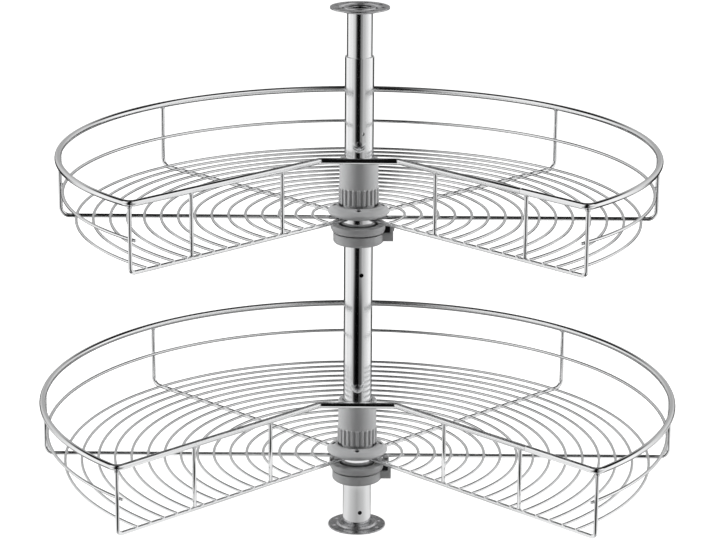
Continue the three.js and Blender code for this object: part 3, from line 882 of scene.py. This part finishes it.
def make_floor(b):
    node = b.node("floor_grid")
    for side, turn in (("left", -NOTCH_TURN), ("right", NOTCH_TURN)):
        bm = bmesh.new()
        line = spoke_line(b, turn, CENTRE_TUBE_RADIUS - CENTRE_TUBE_WALL / 2, b.floor, CORNER_FOOT_BEND)
        sweep(bm, line, FRAME_WIRE, SPOKE_SIDES)
        make_piece(bm, node, b.node(f"{side}_notch_wire_chromed"))
    bm = bmesh.new()
    for radius in b.arcs:
        end = NOTCH_TURN + math.degrees((FRAME_WIRE / 2 + END_REACH) / radius)
        sweep(bm, arc(radius, b.arc_level, end), ARC_WIRE, ARC_SIDES)
    make_piece(bm, node, b.node("floor_arcs_chromed"))
    bm = bmesh.new()
    bore = CENTRE_TUBE_RADIUS - CENTRE_TUBE_WALL
    outline = tube_outline(CENTRE_TUBE_RADIUS, bore, b.floor - CENTRE_TUBE_DROP, b.floor + CENTRE_TUBE_RISE)
    turned(bm, [tuple(p) for p in outline])
    make_piece(bm, node, b.node("centre_tube_chromed"))
    for part, turn in SPOKES.items():
        bm = bmesh.new()
        line = spoke_line(b, turn, CENTRE_TUBE_RADIUS + CLEARANCE, b.low_level, FLOOR_BEND)
        sweep(bm, line, FRAME_WIRE, SPOKE_SIDES)
        make_piece(bm, b.node(part))


for b in baskets:
    make_floor(b)
print("floors made:", ", ".join(f"{b.name} {len(b.arcs)} arcs" for b in baskets))

# %% [markdown]
# ## Middle rail and uprights
#
# A thin rail runs round the inside of the upturned ends and keeps goods from slipping out. Four straight
# uprights stand in the sides of the open corner. They are plain sheared lengths of wire, welded at both ends.

# %% Rail and uprights
def make_sides(b):
    radius = b.rim - (FRAME_WIRE + RAIL_WIRE) / 2 - CLEARANCE
    end = NOTCH_TURN + math.degrees((FRAME_WIRE / 2 + END_REACH) / radius)
    bm = bmesh.new()
    sweep(bm, arc(radius, b.rail, end), RAIL_WIRE)
    make_piece(bm, b.node("middle_rail"))
    for side, turn in (("left", -NOTCH_TURN), ("right", NOTCH_TURN)):
        for place, gap in UPRIGHT_GAPS[b.name].items():
            at = FIRST_ARC + (gap + 0.5) * ARC_PITCH
            foot = around(at, turn, b.floor + FRAME_WIRE / 2 - WELD_DEPTH / 2)
            head = around(at, turn, b.top - RIM_WIRE / 2 + WELD_DEPTH / 2)
            bm = bmesh.new()
            sweep(bm, [foot, head], FRAME_WIRE, SPOKE_SIDES)
            make_piece(bm, b.node(f"{side}_{place}_upright"))


for b in baskets:
    make_sides(b)
print("rails and uprights made")

# %% [markdown]
# ## Welds
#
# Every crossing of two wires is spot welded: the metal squeezes out into a small flat bead beside the joint,
# and the chrome goes over it. From arm's length the welds show only as a break in the reflection, but the
# one at each outer corner, where rim, notch bar and upright meet, is a clear dark lump. They are small
# flattened balls in one mesh for each basket. Sculpting a fillet at 200 crossings would cost far more faces
# and look the same.

# %% Weld beads
SPOT_BEAD = (1.6, 1.6, 0.6)  # half sizes at the floor's crossings
UPRIGHT_BEAD = (3.1, 3.1, 1.3)
UPRIGHT_FOOT_BEAD = (2.8, 2.8, 0.9)
CORNER_BEAD = (3.0, 3.0, 1.8)
RAIL_BEAD = (0.9, 2.2, 1.5)
RAIL_END_BEAD = (0.7, 1.3, 1.0)


def bead(bm, centre, half_sizes, turn=0.0, detail=2):
    """A flattened ball of weld metal."""
    made = bmesh.ops.create_icosphere(bm, subdivisions=detail, radius=1)["verts"]
    shape = Matrix.Rotation(math.radians(-turn), 4, "Z") @ Matrix.Diagonal((*half_sizes, 1))
    for vert in made:
        vert.co = centre + shape @ vert.co


def make_welds(b):
    bm = bmesh.new()
    spot_level = b.floor + FRAME_WIRE / 2 - WELD_DEPTH / 2
    for radius in b.arcs:
        for turn in (*SPOKES.values(), -NOTCH_TURN, NOTCH_TURN):
            bead(bm, around(radius, turn, spot_level), SPOT_BEAD, turn, 1)
    rim_foot = b.top - RIM_WIRE / 2
    for turn in SPOKES.values():
        bead(bm, around(b.rim, turn, rim_foot), UPRIGHT_BEAD)
        bead(bm, around(b.rim - FRAME_WIRE / 2, turn, b.rail), RAIL_BEAD, turn)
    for turn in (-NOTCH_TURN, NOTCH_TURN):
        bead(bm, around(b.rim, turn, rim_foot), CORNER_BEAD, turn)
        bead(bm, around(b.rim - FRAME_WIRE / 2, turn, b.rail), RAIL_END_BEAD, turn)
        for gap in UPRIGHT_GAPS[b.name].values():
            at = FIRST_ARC + (gap + 0.5) * ARC_PITCH
            bead(bm, around(at, turn, rim_foot), UPRIGHT_BEAD)
            bead(bm, around(at, turn, b.floor + FRAME_WIRE / 2), UPRIGHT_FOOT_BEAD)
    make_piece(bm, b.node("notch_bar"), b.node("weld_beads"), "weld_chrome")


for b in baskets:
    make_welds(b)
print("weld beads made")

# %% [markdown]
# ## Hub sleeve
#
# The grey sleeve runs on the pole. Its upper part is plain, and an undercut at its foot shows as a dark line
# above the hub ring. Between them stand 24 upright ribs with rounded tops, which give the hand a grip when
# the shelf is lifted off its stop. The ribs could be separate bars set round the sleeve, but a moulded rib
# flows into the wall, so the turned wall swells at each one.

# %% Ribbed sleeve
RUN_BORE = 16.3
SLEEVE_RADIUS = 21.5
RIB_COUNT = 24
RIB_PROUD = 0.8
RIB_SINK = 1.0
RIB_HALF_WIDTH = 1.75
RIB_BOTTOM = 15.5
RIB_TOP = 35.0
SLEEVE_FLANGE = 3.4
SLEEVE_EDGE = ((0.02, 1.2), (0.25, 0.5), (0.9, 0.0))  # inset and drop of the points round the top edge
NECK_RADIUS, NECK_LOW, NECK_HIGH = 17.2, 9.0, 16.8  # the undercut just above the hub ring
SLEEVE_SIDES = RIB_COUNT * 14
HUB_SEAT = FRAME_WIRE / 2 + CLEARANCE


def smooth_step(low, high, value):
    t = max(0.0, min(1.0, (value - low) / (high - low)))
    return t * t * (3 - 2 * t)


def ribbed(floor):
    """The swelling of the sleeve's wall at a height and a turn."""

    def swell(radius, height, turn):
        if abs(radius - SLEEVE_RADIUS) > 0.01:
            return radius
        rib = (turn * RIB_COUNT / (2 * math.pi) + 0.5) % 1 - 0.5
        aside = abs(rib) * 2 * math.pi * SLEEVE_RADIUS / RIB_COUNT
        over = max(0.0, height - floor - (RIB_TOP - RIB_HALF_WIDTH), RIB_BOTTOM + 0.6 - (height - floor))
        reach = math.hypot(aside, over)
        edge = 1 - smooth_step(0.6 * RIB_HALF_WIDTH, RIB_HALF_WIDTH, reach)
        pitch = math.pi * SLEEVE_RADIUS / RIB_COUNT
        inside = smooth_step(RIB_BOTTOM, RIB_BOTTOM + 1.2, height - floor)
        inside *= 1 - smooth_step(RIB_TOP - 1.6, RIB_TOP - 0.2, height - floor + 0.35 * aside)
        groove = inside * smooth_step(RIB_HALF_WIDTH * 0.8, pitch, aside)
        return radius + RIB_PROUD * edge - RIB_SINK * groove

    return swell


def make_sleeve(b):
    low, high = box_mm(b.node("hub_sleeve"))
    cup = CENTRE_TUBE_RADIUS + CLEARANCE
    cup_top = b.floor + CENTRE_TUBE_RISE + CLEARANCE
    seat = b.floor + HUB_SEAT
    rise = seat + SLEEVE_FLANGE
    outline = [tuple(p) for p in rounded([(cup, seat, 0.3), (high.x, seat, 0.6), (high.x, rise, 0.8)])]
    outline.append((SLEEVE_RADIUS, rise))
    outline += [(SLEEVE_RADIUS, b.floor + NECK_LOW), (NECK_RADIUS, b.floor + NECK_LOW + 0.2)]
    outline += [(NECK_RADIUS, b.floor + NECK_HIGH - 0.2), (SLEEVE_RADIUS - 0.2, b.floor + NECK_HIGH)]
    wall = [b.floor + NECK_HIGH + 0.2 + 0.5 * i for i in range(int((RIB_TOP - NECK_HIGH + 2) / 0.5))]
    outline += [(SLEEVE_RADIUS, height) for height in wall]
    outline.append((SLEEVE_RADIUS, high.z - 2))
    outline += [(SLEEVE_RADIUS - inset, high.z - drop) for inset, drop in SLEEVE_EDGE]
    outline += [(RUN_BORE + 0.5, high.z), (RUN_BORE, high.z - 0.5), (RUN_BORE, cup_top), (cup, cup_top)]
    bm = bmesh.new()
    turned(bm, outline, SLEEVE_SIDES, ribbed(b.floor))
    make_piece(bm, b.node("hub_sleeve"))


for b in baskets:
    make_sleeve(b)
print("sleeves with", RIB_COUNT, "ribs")

# %% [markdown]
# ## Hub ring
#
# A rounded cover clamps the sleeve's flange to the floor wires with four screws, each in its own well. Its
# outline is turned with generous fillets, and the wells are cut afterwards, which leaves the crisp edge that
# a moulded well has.

# %% Hub ring
RING_SCREW_CIRCLE = 25.7
RING_TOP = 14.0
WELL_SEAT = 10.6
WELL_RADIUS = 2.95
WELL_BORE = 1.7
SKIRT_LIFT = 1.0  # the ring's foot stays a little off the wires, which shows more of the centre tube
SKIRT_BORE = 29.5
RING_SCREWS = {"back": 0, "right": 90, "front": 180, "left": -90}


def make_hub_ring(b):
    low, high = box_mm(b.node("hub_ring"))
    skirt = SKIRT_BORE + CLEARANCE
    bore = SLEEVE_RADIUS + CLEARANCE
    ceiling = b.floor + HUB_SEAT + SLEEVE_FLANGE + CLEARANCE
    foot, top = low.z + SKIRT_LIFT, high.z
    outline = rounded([
        (skirt, foot, 0.3), (31.7, foot, 0.5), (high.x, foot + 2.2, 1.8), (high.x, foot + 4.6, 2.6),
        (29.6, top - 2.1, 3.4), (25.0, top, 2.4), (bore, top, 0.6), (bore, ceiling, 0.3),
        (skirt, ceiling, 0.3),
    ])
    bm = bmesh.new()
    turned(bm, [tuple(p) for p in outline], 128)
    ring = make_piece(bm, b.node("hub_ring"))
    bm = bmesh.new()
    for turn in RING_SCREWS.values():
        below, seat, past_seat, above = [
            around(RING_SCREW_CIRCLE, turn, height)
            for height in (foot - 1, b.floor + WELL_SEAT, b.floor + WELL_SEAT + 0.5, b.floor + RING_TOP + 1)
        ]
        bar(bm, seat, above, WELL_RADIUS)
        bar(bm, below, past_seat, WELL_BORE)
    boolean(ring, bm, "DIFFERENCE")


for b in baskets:
    make_hub_ring(b)
print("hub rings with", len(RING_SCREWS), "wells each")

# %% [markdown]
# ## Clips
#
# Two small clips stick out under the lower hub ring, one at each side of the front. Each is a moulded tab
# with a slot. The upper hub shows none, so only the lower one gets them. A box with eased edges is enough
# for each, because a clip is only a few millimetres across.

# %% Clips
CLIPS = ((32.4, -13.0, 7.0), (-28.6, -17.5, 5.0))  # places and widths
CLIP_DEPTH, CLIP_HALF_HEIGHT = 5.0, 3.4
SLOT_SHARE = 0.28  # half the slot's width as a share of the clip's


def block(bm, low, high, edge):
    """A box with its edges eased."""
    made = bmesh.ops.create_cube(bm, size=1)["verts"]
    for vert in made:
        vert.co = Vector([(a + b) / 2 + c * (b - a) for a, b, c in zip(low, high, vert.co)])
    edges = {e for v in made for e in v.link_edges}
    bmesh.ops.bevel(bm, geom=list(edges), offset=edge, segments=3, profile=0.5, affect="EDGES")


b = baskets[0]
for number, (x, y, width) in enumerate(CLIPS):
    bm = bmesh.new()
    low = (x - width / 2, y - CLIP_DEPTH / 2, b.floor - CLIP_HALF_HEIGHT)
    block(bm, low, (x + width / 2, y + CLIP_DEPTH / 2, b.floor + CLIP_HALF_HEIGHT), 0.7)
    clip = make_piece(bm, b.node("hub_ring"), b.node(f"hub_clip_{number}_moulded"))
    bm = bmesh.new()
    slot_low = (x - SLOT_SHARE * width, y - CLIP_DEPTH, b.floor - 0.8)
    block(bm, slot_low, (x + SLOT_SHARE * width, y + 1.0, b.floor + 0.9), 0.2)
    boolean(clip, bm, "DIFFERENCE")
print(len(CLIPS), "clips")

# %% [markdown]
# ## Screws
#
# The pole screws and the ring screws have domed heads with a cross recess, and the clamp and set screws have
# a hexagon socket. The recess is what the eye looks for in a screw, so it is cut for real: two crossed wedges
# or one six-sided bar.

# %% Screw helpers
DOME_TURNS = (0.15, 0.5, 0.8, 1.1)  # radians over the head's dome
DOME_RISE = 0.55  # of the head's height
HEX_REACH = 0.58  # of the head's radius
CROSS_REACH, CROSS_HALF_WIDTH = 0.62, 0.16
SOCKET_DEPTH = 0.6  # of the head's height


def wedge(bm, place, reach, half_width, depth):
    """One arm of a cross recess: wide at the top, narrow at the bottom."""
    corners = ((-reach, -half_width), (reach, -half_width), (reach, half_width), (-reach, half_width))
    top = [Vector((x, y, 1.0)) for x, y in corners]
    foot = [Vector((0.35 * p.x, 0.8 * p.y, -depth)) for p in top]
    top, foot = [[bm.verts.new(place @ p) for p in ring] for ring in (top, foot)]
    for k in range(4):
        bm.faces.new((top[k - 1], top[k], foot[k], foot[k - 1]))
    bm.faces.new(top)
    bm.faces.new(foot)


def screw_outline(sizes, length, socket):
    """The outline of a screw, from the middle of its head to the middle of its tip."""
    head_radius, head_height, shank_radius = sizes
    if socket == "hexagon":
        edge = 0.35
        outline = [(0.01, 0.0), (head_radius - edge, 0.0), (head_radius, -edge), (head_radius, -head_height)]
    else:
        rise = DOME_RISE * head_height
        dome = [(head_radius * math.sin(a), -rise * (1 - math.cos(a))) for a in DOME_TURNS]
        outline = [(0.01, 0.0), *dome, (head_radius, -0.75 * head_height), (head_radius, -head_height)]
    if shank_radius < head_radius:
        outline.append((shank_radius, -head_height))
    return [*outline, (shank_radius, 0.5 - length), (shank_radius - 0.5, -length), (0.01, -length)]


def screw(node, sizes, way, socket="cross"):
    """A screw whose head faces along way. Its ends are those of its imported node."""
    low, high = box_mm(node)
    half = abs((high - low).dot(way)) / 2
    crown = (low + high) / 2 + way * half
    place = Matrix.Translation(crown) @ way.to_track_quat("Z", "Y").to_matrix().to_4x4()
    bm = bmesh.new()
    turned(bm, screw_outline(sizes, 2 * half, socket), 48, place=place)
    piece = make_piece(bm, node)
    head_radius, head_height, _ = sizes
    depth = SOCKET_DEPTH * head_height
    if socket == "hexagon":
        bm = bmesh.new()
        ends = [place @ Vector((0, 0, height)) for height in (1, -depth)]
        bar(bm, *ends, HEX_REACH * head_radius, sides=6)
        boolean(piece, bm, "DIFFERENCE")
        return
    for turn in (0, math.pi / 2):
        bm = bmesh.new()
        arm = place @ Matrix.Rotation(turn, 4, "Z")
        wedge(bm, arm, CROSS_REACH * head_radius, CROSS_HALF_WIDTH * head_radius, depth)
        boolean(piece, bm, "DIFFERENCE")


print("screws have a cross or a hexagon socket")

# %% Screws
# Head radius, head height and shank radius.
POLE_SCREW = (3.5, 2.2, 2.0)
HUB_SCREW = (2.6, 1.6, 1.4)
CLAMP_SCREW = (4.25, 4.0, 2.5)
SET_SCREW = (2.5, 2.4, 2.5)
FORWARD, BACK = Vector((0, -1, 0)), Vector((0, 1, 0))
UP, RIGHT = Vector((0, 0, 1)), Vector((1, 0, 0))
for b in baskets:
    screw(b.node("pole_screw"), POLE_SCREW, FORWARD)
    for side in RING_SCREWS:
        screw(b.node(f"hub_screw_{side}"), HUB_SCREW, UP)
    screw(b.node("clamp_screw"), CLAMP_SCREW, BACK, "hexagon")
    screw(b.node("set_screw"), SET_SCREW, RIGHT, "hexagon")
print("screws made, seven for each basket")

# %% [markdown]
# ## Bearing, stop collar and clamp
#
# Under each floor the centre tube stands on a nylon bush, which turns on a steel washer in the stop collar.
# The clamp ring below is split at a lug on its right, where a screw pulls it tight round the pole. Collar,
# bush and washer are turned. The clamp is a turned ring joined with two eased blocks and then slit.

# %% Bush, washer and collar
BUSH_FLANGE = 1.3
WASHER_EDGE = 0.2
RECESS_ROOM = 2.4  # beside the centre tube
COLLAR_FLAT = 28.2  # from the axis to the flat behind the post
HALF_LUG = 9.0


def make_bearing(b):
    low, high = box_mm(b.node("bearing_bush"))
    collar = low.z + BUSH_FLANGE
    sleeve = CENTRE_TUBE_RADIUS - CENTRE_TUBE_WALL - CLEARANCE
    bm = bmesh.new()
    outline = rounded([
        (RUN_BORE, low.z, 0.3), (high.x, low.z, 0.3), (high.x, collar, 0.3), (sleeve, collar, 0.2),
        (sleeve, high.z, 0.3), (RUN_BORE, high.z, 0.3),
    ])
    turned(bm, [tuple(p) for p in outline])
    make_piece(bm, b.node("bearing_bush"))
    low, high = box_mm(b.node("thrust_washer"))
    bm = bmesh.new()
    turned(bm, [tuple(p) for p in tube_outline(high.x, RUN_BORE, low.z, high.z, WASHER_EDGE)])
    make_piece(bm, b.node("thrust_washer"), finish_name="plated_screw")
    recess_floor = low.z - CLEARANCE
    low, high = box_mm(b.node("stop_collar"))
    bm = bmesh.new()
    recess = CENTRE_TUBE_RADIUS + RECESS_ROOM
    outline = rounded([
        (RUN_BORE, low.z, 0.3), (high.x - 2, low.z, 0.5), (high.x, low.z + 4, 3.0), (high.x, high.z, 1.6),
        (recess, high.z, 0.5), (recess, recess_floor, 0.3), (RUN_BORE, recess_floor, 0.3),
    ])
    turned(bm, [tuple(p) for p in outline], 128)
    piece = make_piece(bm, b.node("stop_collar"))
    bm = bmesh.new()
    block(bm, (COLLAR_FLAT, -HALF_LUG - 1, low.z - 1), (2 * COLLAR_FLAT, 0, high.z + 1), 0.1)
    boolean(piece, bm, "DIFFERENCE")


for b in baskets:
    make_bearing(b)
print("bearings and collars made")

# %% Clamp ring
CLAMP_RADIUS = 28.0
CLAMP_ROUND = 2.0
LUG_ROOT = 4.0
LUG_BOTTOM = -26.0
POST_THICKNESS = 3.6
POST_TOP = -8.5
COLLAR_SEAM = -16.0
HALF_SLIT = 1.0
SCREW_BORE = 2.8
NUT_HEIGHT = 7.0
SEAM_HEIGHT, SEAM_DEPTH = 1.5, 5.0  # the dark groove under the collar


def make_clamp(b):
    low, high = box_mm(b.node("clamp_ring"))
    top = b.floor + COLLAR_SEAM - CLEARANCE
    bm = bmesh.new()
    outline = rounded([
        (RUN_BORE, low.z, 0.4), (CLAMP_RADIUS - CLAMP_ROUND, low.z, 2.0),
        (CLAMP_RADIUS, low.z + CLAMP_ROUND, 2.6), (CLAMP_RADIUS, top - SEAM_HEIGHT, 0.4),
        (CLAMP_RADIUS - SEAM_DEPTH, top - SEAM_HEIGHT, 0), (CLAMP_RADIUS - SEAM_DEPTH, top, 0),
        (RUN_BORE, top, 0.4),
    ])
    turned(bm, [tuple(p) for p in outline], 128)
    clamp = make_piece(bm, b.node("clamp_ring"))
    lug = (CLAMP_RADIUS - LUG_ROOT, -HALF_LUG, b.floor + LUG_BOTTOM), (high.x, HALF_LUG, top)
    post = (high.x - POST_THICKNESS, -HALF_LUG, top - 3), (high.x, -HALF_SLIT, b.floor + POST_TOP)
    slit = (0, -HALF_SLIT, low.z - 1), (high.x + 1, HALF_SLIT, b.floor)
    for corners, edge, operation in ((lug, 0.5, "UNION"), (post, 0.5, "UNION"), (slit, 0.05, "DIFFERENCE")):
        bm = bmesh.new()
        block(bm, *corners, edge)
        boolean(clamp, bm, operation)
    across, along = [sum(box_mm(b.node(name)), Vector()) / 2 for name in ("set_screw", "clamp_screw")]
    head_end = box_mm(b.node("clamp_screw"))[0].y - CLEARANCE
    for start, end in (
        ((CLAMP_RADIUS + 3, across.y, across.z), (high.x + 2, across.y, across.z)),
        ((along.x, head_end, along.z), (along.x, HALF_LUG + 1, along.z)),
    ):
        bm = bmesh.new()
        bar(bm, Vector(start), Vector(end), SCREW_BORE)
        boolean(clamp, bm, "DIFFERENCE")


def make_gap_block(b):
    """The black block that fills the room between the collar's flat and the post, where that gap shows black.
    """
    high = box_mm(b.node("clamp_ring"))[1]
    foot = b.floor + COLLAR_SEAM + CLEARANCE
    near, far = COLLAR_FLAT + CLEARANCE, high.x - POST_THICKNESS - CLEARANCE
    bm = bmesh.new()
    block(bm, (near, -HALF_LUG, foot), (far, -HALF_SLIT, foot + NUT_HEIGHT), 0.4)
    make_piece(bm, b.node("set_screw"), b.node("lock_nut_blackened"))


for b in baskets:
    make_clamp(b)
    make_gap_block(b)
print("clamps made")
